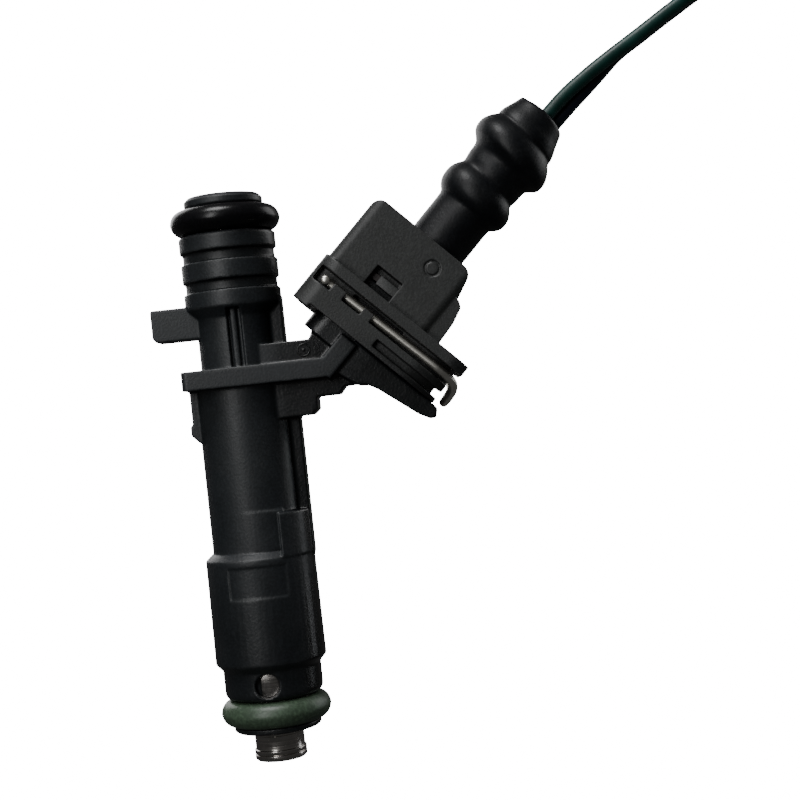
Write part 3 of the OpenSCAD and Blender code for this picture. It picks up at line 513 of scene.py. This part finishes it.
# %% The object's finishes
FINISH = {
    # black_nylon takes the painted shade in full and plug_plastic at 0.6.
    "black_nylon": moulded("black_nylon", (0.0080, 0.0098, 0.0115), 0.46, grain=0.30, depth=0.05,
                           wear=0.7, dust=0.35, mottle=0.8, specular=0.42, painted_shade_and_low_end=1.0),
    "plug_plastic": moulded("plug_plastic", (0.0150, 0.0160, 0.0158), 0.48, grain=0.28, depth=0.05,
                            wear=0.6, dust=0.3, mottle=0.6, specular=0.42, painted_shade_and_low_end=0.6),
    "boot_rubber": moulded("boot_rubber", (0.0026, 0.0030, 0.0040), 0.44, grain=0.40, depth=0.05,
                           wear=0.2, dust=0.4, mottle=0.8, specular=0.23),
    "green_rubber": moulded("green_rubber", (0.036, 0.058, 0.036), 0.42, grain=0.4, depth=0.012,
                            wear=0.2, dust=0.3, mottle=0.6, dull=(0.08, 0.12, 0.08)),
    "black_rubber": moulded("black_rubber", (0.0026, 0.0026, 0.0032), 0.27, grain=0.4, depth=0.01,
                            wear=0.1, dust=0.2, mottle=0.5, specular=0.24),
    "seal_silicone": moulded("seal_silicone", (0.016, 0.010, 0.009), 0.5, wear=0.1,
                             dull=(0.03, 0.02, 0.018)),
    "filter_plastic": moulded("filter_plastic", (0.62, 0.60, 0.50), 0.4, wear=0.1, dust=0.2,
                              dull=(0.7, 0.68, 0.6)),
    "filter_mesh": moulded("filter_mesh", (0.45, 0.45, 0.40), 0.5, wear=0.1, dust=0.4,
                           dull=(0.5, 0.5, 0.45)),
    "bobbin_plastic": moulded("bobbin_plastic", (0.12, 0.085, 0.055), 0.4, wear=0.3,
                              dull=(0.2, 0.15, 0.1)),
    "nozzle_steel": machined("nozzle_steel", (0.50, 0.475, 0.45), 0.21, pitch=0.16, streak=1.4,
                             tint=(0.22, 0.17, 0.13)),
    "ground_steel": machined("ground_steel", (0.62, 0.61, 0.60), 0.14, pitch=0.08, streak=0.6),
    "tube_steel": machined("tube_steel", (0.50, 0.49, 0.475), 0.24, pitch=0.2),
    "magnet_steel": machined("magnet_steel", (0.34, 0.335, 0.33), 0.34, pitch=0.1),
    "spring_steel": machined("spring_steel", (0.52, 0.51, 0.50), 0.25, pitch=0.3),
    "clip_steel": machined("clip_steel", (0.95, 0.90, 0.76), 0.36, pitch=0.5, depth=0.006, streak=0.4,
                           tint=(0.55, 0.50, 0.40)),
    "brass": machined("brass", (0.66, 0.47, 0.20), 0.25, pitch=0.14),
    "enamelled_copper": machined("enamelled_copper", (0.50, 0.19, 0.07), 0.22, pitch=0.12),
    "tinned_brass": machined("tinned_brass", (0.60, 0.57, 0.48), 0.28, pitch=0.3),
    "bare_copper": machined("bare_copper", (0.72, 0.33, 0.18), 0.28, pitch=0.4),
    "green_insulation": extruded("green_insulation", (0.0026, 0.030, 0.024), 0.36),
    "dark_insulation": extruded("dark_insulation", (0.005, 0.007, 0.017), 0.28),
}
slot_of = {part["node"]: part["material_slot"] for part in frame["record"]["subparts"]}
for name, node in nodes.items():
    node.data.materials.clear()
    node.data.materials.append(FINISH[slot_of[name]])
print("finishes", len(FINISH))

# %% [markdown]
# ## Soft edges on the mouldings
# A real moulding has no sharp edge: each outer one is rounded, each inner one has a fillet, and both
# catch a line of light. Bevelling every edge of a shape with this many crossing ribs makes its corners
# run into each other. So a copy of the CAD mesh is welded and remeshed in fine voxels, a few rounds of
# smoothing melt the edges to a radius of about 0.2 mm, and Decimate takes away the faces that flat areas
# don't need. How sharply the surface bends outwards is kept in an attribute, for the wear.


# %% A softened copy of a CAD node
WELD = 0.002 * MM
SLIVER = 0.008 * MM


def mesh_of(piece):
    """The piece's mesh with its modifiers applied, which are then removed."""
    evaluated = piece.evaluated_get(bpy.context.evaluated_depsgraph_get())
    mesh = bpy.data.meshes.new_from_object(evaluated)
    piece.modifiers.clear()
    piece.data = mesh
    return mesh


def mark_edges(mesh, full=math.radians(50)):
    """Stores in "edge" how strongly each corner stands out, from 0 to 1, for wear along the edges."""
    tool = bmesh.new()
    tool.from_mesh(mesh)
    tool.normal_update()
    layer = tool.verts.layers.float.new("edge")
    for vert in tool.verts:
        angles = [e.calc_face_angle_signed(0.0) for e in vert.link_edges if len(e.link_faces) == 2]
        vert[layer] = max(0.0, min(1.0, max(angles, default=0.0) / full))
    tool.to_mesh(mesh)
    tool.free()


def welded(node):
    """The node's loose triangles, joined, in a bmesh of their own."""
    tool = bmesh.new()
    tool.from_mesh(nodes[node].data)
    bmesh.ops.remove_doubles(tool, verts=tool.verts, dist=WELD)
    return tool


def mark_bends(mesh, reach=0.35):
    """Stores in "edge" how sharply each point bends outwards. reach is the radius, in mm, that counts
    as fully sharp."""
    count = len(mesh.vertices)
    place = np.empty(count * 3)
    normal = np.empty(count * 3)
    pairs = np.empty(len(mesh.edges) * 2, dtype=np.int64)
    mesh.vertices.foreach_get("co", place)
    mesh.vertices.foreach_get("normal", normal)
    mesh.edges.foreach_get("vertices", pairs)
    place = place.reshape(-1, 3)
    normal = normal.reshape(-1, 3)
    a, b = pairs[0::2], pairs[1::2]
    step = place[b] - place[a]
    square = np.maximum((step * step).sum(axis=1), 1e-12)
    bend = np.bincount(a, (-2 * (step * normal[a]).sum(axis=1) / square), count)
    bend += np.bincount(b, (2 * (step * normal[b]).sum(axis=1) / square), count)
    bend /= np.maximum(np.bincount(a, minlength=count) + np.bincount(b, minlength=count), 1)
    share = np.clip(bend * reach, 0, 1)
    layer = mesh.attributes.new("edge", "FLOAT", "POINT")
    layer.data.foreach_set("value", share.astype(np.float32))
    return share


def softened_copy(name, node, voxel, rounds, most):
    """A copy of a CAD node with its edges melted round. voxel is in mm, and most is in triangles."""
    tool = welded(node)
    mesh = bpy.data.meshes.new(name)
    tool.to_mesh(mesh)
    tool.free()
    mesh.transform(Matrix.Scale(1 / MM, 4))
    piece = bpy.data.objects.new(name, mesh)
    scene.collection.objects.link(piece)
    remesh = piece.modifiers.new("voxels", "REMESH")
    remesh.mode = "VOXEL"
    remesh.voxel_size = voxel
    melt = piece.modifiers.new("melt", "SMOOTH")
    melt.factor = 0.5
    melt.iterations = rounds
    mesh = mesh_of(piece)
    bends = mark_bends(mesh)
    print(name, len(mesh.polygons), "faces from voxels, mean bend", round(float(bends.mean()), 3))
    thin = piece.modifiers.new("thin out", "DECIMATE")
    thin.ratio = min(1.0, most / (2 * len(mesh.polygons)))
    mesh = mesh_of(piece)
    mesh.transform(Matrix.Scale(MM, 4))
    mesh.polygons.foreach_set("use_smooth", [True] * len(mesh.polygons))
    mesh.materials.clear()
    mesh.materials.append(FINISH[slot_of[node]])
    return piece


# %% [markdown]
# ## Rounded edges on two small pieces
# The nozzle and the lock are simple enough for the Bevel modifier. Flat faces are joined, and every edge
# sharper than 30 degrees is given a bevel weight. The weight is smaller where the neighbouring faces are
# narrow, so that two rounded edges never run into each other.


# %% A bevelled copy of a CAD node
def rounded_copy(name, node, width, segments=2, sharp=math.radians(30)):
    """A copy of a CAD node whose outer edges are rounded to about width."""
    tool = welded(node)
    bmesh.ops.dissolve_limit(tool, angle_limit=math.radians(0.6), verts=tool.verts, edges=tool.edges)
    bmesh.ops.remove_doubles(tool, verts=tool.verts, dist=SLIVER)
    layer = tool.edges.layers.float.new("bevel_weight_edge")
    picked = {e for e in tool.edges if len(e.link_faces) == 2 and e.calc_face_angle(0.0) > sharp}
    for edge in picked:
        room = width
        for vert in edge.verts:
            for other in vert.link_edges:
                if other not in picked:
                    room = min(room, other.calc_length() * 0.45)
        for face in edge.link_faces:
            across = face.calc_area() / max(edge.calc_length(), 1e-9)
            room = min(room, max(across * 0.4, 0.0))
        edge[layer] = room / width
    mesh = bpy.data.meshes.new(name)
    tool.to_mesh(mesh)
    tool.free()
    piece = bpy.data.objects.new(name, mesh)
    scene.collection.objects.link(piece)
    bevel = piece.modifiers.new("rounded edges", "BEVEL")
    bevel.limit_method = "WEIGHT"
    bevel.width = width
    bevel.segments = segments
    bevel.use_clamp_overlap = False
    bevel.miter_outer = "MITER_SHARP"
    mesh = mesh_of(piece)
    mark_edges(mesh)
    mesh.materials.clear()
    mesh.materials.append(FINISH[slot_of[node]])
    smooth_by_angle(mesh)
    return piece


def smooth_by_angle(mesh, angle=math.radians(38)):
    """Smooth shading, with creases kept at edges sharper than angle."""
    mesh.polygons.foreach_set("use_smooth", [True] * len(mesh.polygons))
    tool = bmesh.new()
    tool.from_mesh(mesh)
    for edge in tool.edges:
        edge.smooth = len(edge.link_faces) == 2 and edge.calc_face_angle(0.0) < angle
    tool.to_mesh(mesh)
    tool.free()


body_of = {n: b for b, members in frame["record"]["behaviour"]["bodies"].items() for n in members}


def stand_for(piece, node):
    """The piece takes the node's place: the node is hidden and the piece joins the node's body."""
    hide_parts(node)
    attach(piece, body_of[node])
    return piece


SOFTENED = {
    "moulded_body": (0.13, 7, 190000), "plug_housing": (0.10, 8, 190000),
    "inlet_cap": (0.08, 5, 40000), "lower_retainer": (0.08, 5, 40000)}
for node, (voxel, rounds, most) in SOFTENED.items():
    stand_for(softened_copy(node + "_shell", node, voxel, rounds, most), node)

ROUNDED = {"terminal_lock": 0.1 * MM, "nozzle_body": 0.05 * MM}
for node, width in ROUNDED.items():
    piece = stand_for(rounded_copy(node + "_shell", node, width), node)
    print(piece.name, len(piece.data.polygons), "faces")

# %% [markdown]
# ## The return spring
# The spring sits between the fixed adjusting sleeve, at its top, and the armature. A welded copy of it
# takes its place, with smooth shading and spring steel.

# %% A copy of the spring
spring_tool = welded("return_spring")
spring_mesh = bpy.data.meshes.new("return_spring_coil")
spring_tool.to_mesh(spring_mesh)
spring_tool.free()
smooth_by_angle(spring_mesh)
spring_mesh.materials.append(FINISH["spring_steel"])
spring = bpy.data.objects.new("return_spring_coil", spring_mesh)
scene.collection.objects.link(spring)
stand_for(spring, "return_spring")
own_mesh(spring)

# %% [markdown]
# ## O-rings
# A moulded O-ring is a torus with a thin flash line where the two halves of its mould met. It is
# turned here from a circle whose radius has a small, narrow bump on its outer and inner side.

# %% Both O-rings
RING_STEPS = 128
SECTION_STEPS = 40
FLASH = 0.035 * MM


def lathe(name, outline, steps=RING_STEPS, closed=True):
    """Turns a list of (radius, height) around Z. A closed outline makes a ring."""
    tool = bmesh.new()
    rings = []
    for k in range(steps):
        turn = 2 * math.pi * k / steps
        rings.append([tool.verts.new((r * math.cos(turn), r * math.sin(turn), z)) for r, z in outline])
    count = len(outline)
    for k in range(steps):
        here, there = rings[k], rings[(k + 1) % steps]
        for i in range(count if closed else count - 1):
            j = (i + 1) % count
            tool.faces.new((here[i], there[i], there[j], here[j]))
    bmesh.ops.recalc_face_normals(tool, faces=tool.faces)
    mesh = bpy.data.meshes.new(name)
    tool.to_mesh(mesh)
    tool.free()
    mesh.polygons.foreach_set("use_smooth", [True] * len(mesh.polygons))
    piece = bpy.data.objects.new(name, mesh)
    scene.collection.objects.link(piece)
    return piece


def o_ring(name, node):
    """A ring of the node's own size, with its flash line."""
    low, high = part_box(node)
    section = (high.z - low.z) / 2
    middle = (high.x - low.x) / 2 - section
    outline = []
    for i in range(SECTION_STEPS):
        turn = 2 * math.pi * i / SECTION_STEPS
        flash = FLASH * max(0.0, 1 - abs(math.sin(turn)) * 8)
        r = section - FLASH + flash
        outline.append((middle + r * math.cos(turn), (low.z + high.z) / 2 + r * math.sin(turn)))
    piece = lathe(name, outline)
    piece.data.materials.append(FINISH[slot_of[node]])
    return stand_for(piece, node)


o_ring("green_o_ring", "lower_seal")
o_ring("black_o_ring", "upper_seal")

# %% [markdown]
# ## A mould mark
# The web between the strap and the plug carries a small raised ring with a dot in it, as toolmakers put
# on a mould. It sinks a little into the face, so that no gap shows.

# %% The ring and its dot
MARK_AT = Vector((8.8, -4.2, 53.2)) * MM
MARK_R = 0.78 * MM
MARK_T = 0.13 * MM


def mould_mark():
    """A low ring and dot that face forwards."""
    outline = [(MARK_R + MARK_T * math.cos(t), MARK_T * 0.8 * math.sin(t))
               for t in (2 * math.pi * i / 10 for i in range(10))]
    ring = lathe("mould_mark", outline, steps=40)
    dot = [(0.26 * MM * math.cos(t), 0.10 * MM * math.sin(t))
           for t in (math.pi * i / 12 for i in range(-5, 6))]
    knob = lathe("mould_mark_dot", dot, steps=24, closed=False)
    body = body_of["moulded_body"]
    for piece in (ring, knob):
        piece.data.transform(Matrix.Translation(MARK_AT) @ Matrix.Rotation(math.radians(90), 4, "X"))
        piece.data.materials.append(FINISH["black_nylon"])
        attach(piece, body)


mould_mark()

# %% [markdown]
# ## The rubber boot
# The boot is one turned rubber moulding, but it isn't quite straight: its two beads lean, and its end is
# cut at a slant. The outline is a list of (distance along, radius) points with a smooth line through
# them, and each ring of the mesh is then tilted by an amount that grows along the boot.

# %% The boot
BOOT_OUTER = [
    (38.22, 4.05), (40, 4.1), (42.5, 4.1), (44.4, 4.12), (45.1, 4.25), (45.6, 4.75), (46.3, 5.2),
    (47.2, 5.35), (48.1, 5.25), (48.9, 4.85), (49.5, 4.42), (50, 4.36), (50.8, 4.5), (51.8, 4.55),
    (52.5, 4.68), (53.1, 5.2), (53.7, 5.8), (54.5, 6.0), (55.4, 5.9), (56.4, 5.4), (57.1, 4.85),
    (57.4, 4.7), (57.8, 4.7), (58.6, 4.5), (59.6, 4.1), (60.5, 3.8), (61.15, 3.55), (61.4, 3.25)]
BOOT_INNER = [(61.35, 2.95), (61, 2.85), (60.2, 2.8), (58, 2.75), (55, 2.7)]
BOOT_STEPS = 96
END_FROM = 61
TILT_FROM = 44.0
TILT_FULL = 50.0
TILT = math.tan(math.radians(7))


def smooth_line(points, parts=3):
    """More points on a smooth line through the given ones (a Catmull-Rom spline)."""
    points = [Vector(p) for p in points]
    found = []
    for i in range(len(points) - 1):
        a = points[max(i - 1, 0)]
        b = points[i]
        c = points[i + 1]
        d = points[min(i + 2, len(points) - 1)]
        for k in range(parts):
            t = k / parts
            found.append(0.5 * (2 * b + (c - a) * t + (2 * a - 5 * b + 4 * c - d) * t ** 2
                                + (3 * b - a - 3 * c + d) * t ** 3))
    return found + [points[-1]]


def boot():
    """The boot's outer skin, its rounded end, and the start of its bore."""
    outline = smooth_line(BOOT_OUTER) + smooth_line(BOOT_INNER)
    tool = bmesh.new()
    rings = []
    for w, r in outline:
        lean = TILT * max(0.0, min(1.0, (w - TILT_FROM) / (TILT_FULL - TILT_FROM)))
        ring = []
        for k in range(BOOT_STEPS):
            turn = 2 * math.pi * k / BOOT_STEPS
            u = r * math.cos(turn)
            y = r * math.sin(turn)
            shift = min(0.0, -u * lean) if w > END_FROM else -u * lean
            ring.append(tool.verts.new(from_plug(u, y, w + shift)))
        rings.append(ring)
    for here, there in zip(rings, rings[1:]):
        for k in range(BOOT_STEPS):
            j = (k + 1) % BOOT_STEPS
            tool.faces.new((here[k], here[j], there[j], there[k]))
    tool.faces.new(list(reversed(rings[0])))
    tool.faces.new(rings[-1])
    bmesh.ops.recalc_face_normals(tool, faces=tool.faces)
    mesh = bpy.data.meshes.new("rubber_boot_skin")
    tool.to_mesh(mesh)
    tool.free()
    mesh.polygons.foreach_set("use_smooth", [len(p.vertices) == 4 for p in mesh.polygons])
    mesh.materials.append(FINISH["boot_rubber"])
    piece = bpy.data.objects.new("rubber_boot_skin", mesh)
    scene.collection.objects.link(piece)
    return stand_for(piece, "rubber_boot")


boot()

# %% [markdown]
# ## The wire clip
# The clip is one piece of bright spring wire. It is swept again here with more sides and a smooth line
# between its points, because its long glossy leg is the brightest thing on the plug.

# %% The clip
CLIP_D = 1.2
CLIP_SIDES = 20
BEND_R = 4.4
BOX_HALF = 6.3
LEG_Y = BOX_HALF + 0.1 + CLIP_D / 2
PLATE_END = 12.6
PRESS = 0.4
PLAY = 0.15
CLIP_RIGHT = PLATE_END + PRESS + PLAY + CLIP_D / 2
TIP_U = -8.0
W_LEG = 26.0
W_HIGH = 26.3
DROP = 2.1


def clip_points():
    """The clip's line, as [u, y, w] points: front tip, leg, bend, leg, back tip."""
    bend_u = CLIP_RIGHT - BEND_R
    bend_y = LEG_Y - BEND_R
    half = [(TIP_U, LEG_Y + 1.1, W_LEG + 0.05), (TIP_U, LEG_Y + 0.5, W_LEG + 0.05),
            (TIP_U + 0.2, LEG_Y + 0.15, W_LEG), (TIP_U + 0.7, LEG_Y, W_LEG), (-4, LEG_Y, W_LEG),
            (0, LEG_Y, W_LEG + 0.1), (4.5, LEG_Y, W_LEG + 0.2), (bend_u, LEG_Y, W_HIGH)]
    for i in range(1, 7):
        turn = math.radians(15 * i)
        fall = 0 if i < 3 else DROP * ((i - 2) / 4) ** 2.5
        half.append((bend_u + BEND_R * math.sin(turn), bend_y + BEND_R * math.cos(turn), W_HIGH - fall))
    half.append((CLIP_RIGHT, bend_y / 2, W_HIGH - DROP - 0.5))
    front = [(u, -y, w) for u, y, w in half]
    return front + [(CLIP_RIGHT, 0, W_HIGH - DROP - 0.7)] + list(reversed(half))


def sweep(name, line, radius, sides):
    """A round bar along a line of points, with domed ends half a radius high."""
    start = (line[0] - line[1]).normalized()
    end = (line[-1] - line[-2]).normalized()
    caps = [0.35, 0.7, 0.92, 0.999]
    head = [(line[0] + start * radius * 0.5 * c, math.sqrt(1 - c * c)) for c in reversed(caps)]
    tail = [(line[-1] + end * radius * 0.5 * c, math.sqrt(1 - c * c)) for c in caps]
    stations = head + [(p, 1.0) for p in line] + tail
    tool = bmesh.new()
    rings = []
    side = Vector((0.3, 0.2, 1)).normalized()
    for i, (point, share) in enumerate(stations):
        before = stations[max(i - 1, 0)][0]
        after = stations[min(i + 1, len(stations) - 1)][0]
        ahead = (after - before).normalized()
        side = (side - ahead * side.dot(ahead)).normalized()
        other = ahead.cross(side)
        rings.append([tool.verts.new(point + (side * math.cos(t) + other * math.sin(t)) * radius * share)
                      for t in (2 * math.pi * k / sides for k in range(sides))])
    for here, there in zip(rings, rings[1:]):
        for k in range(sides):
            j = (k + 1) % sides
            tool.faces.new((here[k], here[j], there[j], there[k]))
    tool.faces.new(list(reversed(rings[0])))
    tool.faces.new(rings[-1])
    bmesh.ops.recalc_face_normals(tool, faces=tool.faces)
    mesh = bpy.data.meshes.new(name)
    tool.to_mesh(mesh)
    tool.free()
    mesh.polygons.foreach_set("use_smooth", [True] * len(mesh.polygons))
    piece = bpy.data.objects.new(name, mesh)
    scene.collection.objects.link(piece)
    return piece


clip_line = smooth_line([from_plug(*p) for p in clip_points()], 5)
clip = sweep("spring_clip", clip_line, CLIP_D / 2 * MM, CLIP_SIDES)
clip.data.materials.append(FINISH["clip_steel"])
stand_for(clip, "wire_clip")
print("clip length", route_length(clip_line))

# %% [markdown]
# ## Copper strands at the stripped ends
# A stranded wire is a bundle of fine copper wires laid in a helix. Geometry Nodes sweep a circle along
# a spiral curve to make one strand, and place an instance of it at each angle around the bundle. The
# tree's named inputs are the length, both radii, the turns, the number of strands and the finish.

# %% The bundle of strands as a Geometry Nodes tree
STRIPPED = 6 * MM
STRAND_R = 0.17 * MM
BUNDLE_R = 0.36 * MM


def strand_tree():
    """A tree that turns nothing but its inputs into a bundle of strands along +Z."""
    tree = bpy.data.node_groups.new("copper strands", "GeometryNodeTree")
    face = tree.interface
    face.new_socket("Geometry", in_out="INPUT", socket_type="NodeSocketGeometry")
    sizes = [("Length", "NodeSocketFloat", STRIPPED), ("Bundle radius", "NodeSocketFloat", BUNDLE_R),
             ("Strand radius", "NodeSocketFloat", STRAND_R), ("Turns", "NodeSocketFloat", 0.6),
             ("Strands", "NodeSocketInt", 7), ("Finish", "NodeSocketMaterial", None)]
    for label, kind, default in sizes:
        socket = face.new_socket(label, in_out="INPUT", socket_type=kind)
        if default is not None:
            socket.default_value = default
    face.new_socket("Geometry", in_out="OUTPUT", socket_type="NodeSocketGeometry")
    new = tree.nodes.new
    link = tree.links.new
    given = new("NodeGroupInput")
    out = new("NodeGroupOutput")
    spiral = new("GeometryNodeCurveSpiral")
    spiral.inputs["Resolution"].default_value = 40
    link(given.outputs["Turns"], spiral.inputs["Rotations"])
    link(given.outputs["Bundle radius"], spiral.inputs["Start Radius"])
    link(given.outputs["Bundle radius"], spiral.inputs["End Radius"])
    link(given.outputs["Length"], spiral.inputs["Height"])
    section = new("GeometryNodeCurvePrimitiveCircle")
    section.inputs["Resolution"].default_value = 10
    link(given.outputs["Strand radius"], section.inputs["Radius"])
    solid = new("GeometryNodeCurveToMesh")
    solid.inputs["Fill Caps"].default_value = True
    link(spiral.outputs["Curve"], solid.inputs["Curve"])
    link(section.outputs["Curve"], solid.inputs["Profile Curve"])
    points = new("GeometryNodePoints")
    link(given.outputs["Strands"], points.inputs["Count"])
    index = new("GeometryNodeInputIndex")
    step = new("ShaderNodeMath")
    step.operation = "DIVIDE"
    step.inputs[0].default_value = 2 * math.pi
    link(given.outputs["Strands"], step.inputs[1])
    turn = new("ShaderNodeMath")
    turn.operation = "MULTIPLY"
    link(index.outputs["Index"], turn.inputs[0])
    link(step.outputs[0], turn.inputs[1])
    angle = new("ShaderNodeCombineXYZ")
    link(turn.outputs[0], angle.inputs["Z"])
    copies = new("GeometryNodeInstanceOnPoints")
    link(points.outputs[0], copies.inputs["Points"])
    link(solid.outputs["Mesh"], copies.inputs["Instance"])
    link(angle.outputs["Vector"], copies.inputs["Rotation"])
    real = new("GeometryNodeRealizeInstances")
    link(copies.outputs["Instances"], real.inputs["Geometry"])
    smooth = new("GeometryNodeSetShadeSmooth")
    link(real.outputs["Geometry"], smooth.inputs["Geometry"])
    paint = new("GeometryNodeSetMaterial")
    link(smooth.outputs["Geometry"], paint.inputs["Geometry"])
    link(given.outputs["Finish"], paint.inputs["Material"])
    link(paint.outputs["Geometry"], out.inputs["Geometry"])
    return tree


STRAND_TREE = strand_tree()


def from_tree(name, tree, **values):
    """A plain mesh made by a Geometry Nodes tree, with the tree's inputs set by their names."""
    piece = bpy.data.objects.new(name, bpy.data.meshes.new(name))
    scene.collection.objects.link(piece)
    modifier = piece.modifiers.new("tree", "NODES")
    modifier.node_group = tree
    keys = {item.name: item.identifier for item in tree.interface.items_tree if item.in_out == "INPUT"}
    for label, value in values.items():
        modifier[keys[label.replace("_", " ")]] = value
    mesh_of(piece)
    return piece


def strands(name, node, route):
    """The bundle at the end of a route, along its last direction."""
    piece = from_tree(name, STRAND_TREE, Finish=FINISH["bare_copper"])
    heading = (route[-1] - route[-2]).normalized()
    turned = heading.to_track_quat("Z", "Y").to_matrix().to_4x4()
    piece.data.transform(Matrix.Translation(route[-1]) @ turned)
    return stand_for(piece, node)


green_strands = strands("green_wire_strands", "strands_green", green_route)
dark_strands = strands("dark_wire_strands", "strands_dark", dark_route)
print("strand faces", len(green_strands.data.polygons))

for wire, node, held, route, end in (
        (green_wire, "wire_green", GREEN_HELD, green_route, green_strands),
        (dark_wire, "wire_dark", DARK_HELD, dark_route, dark_strands)):
    wire.data.materials.append(FINISH[slot_of[node]])
    stand_for(wire, node)
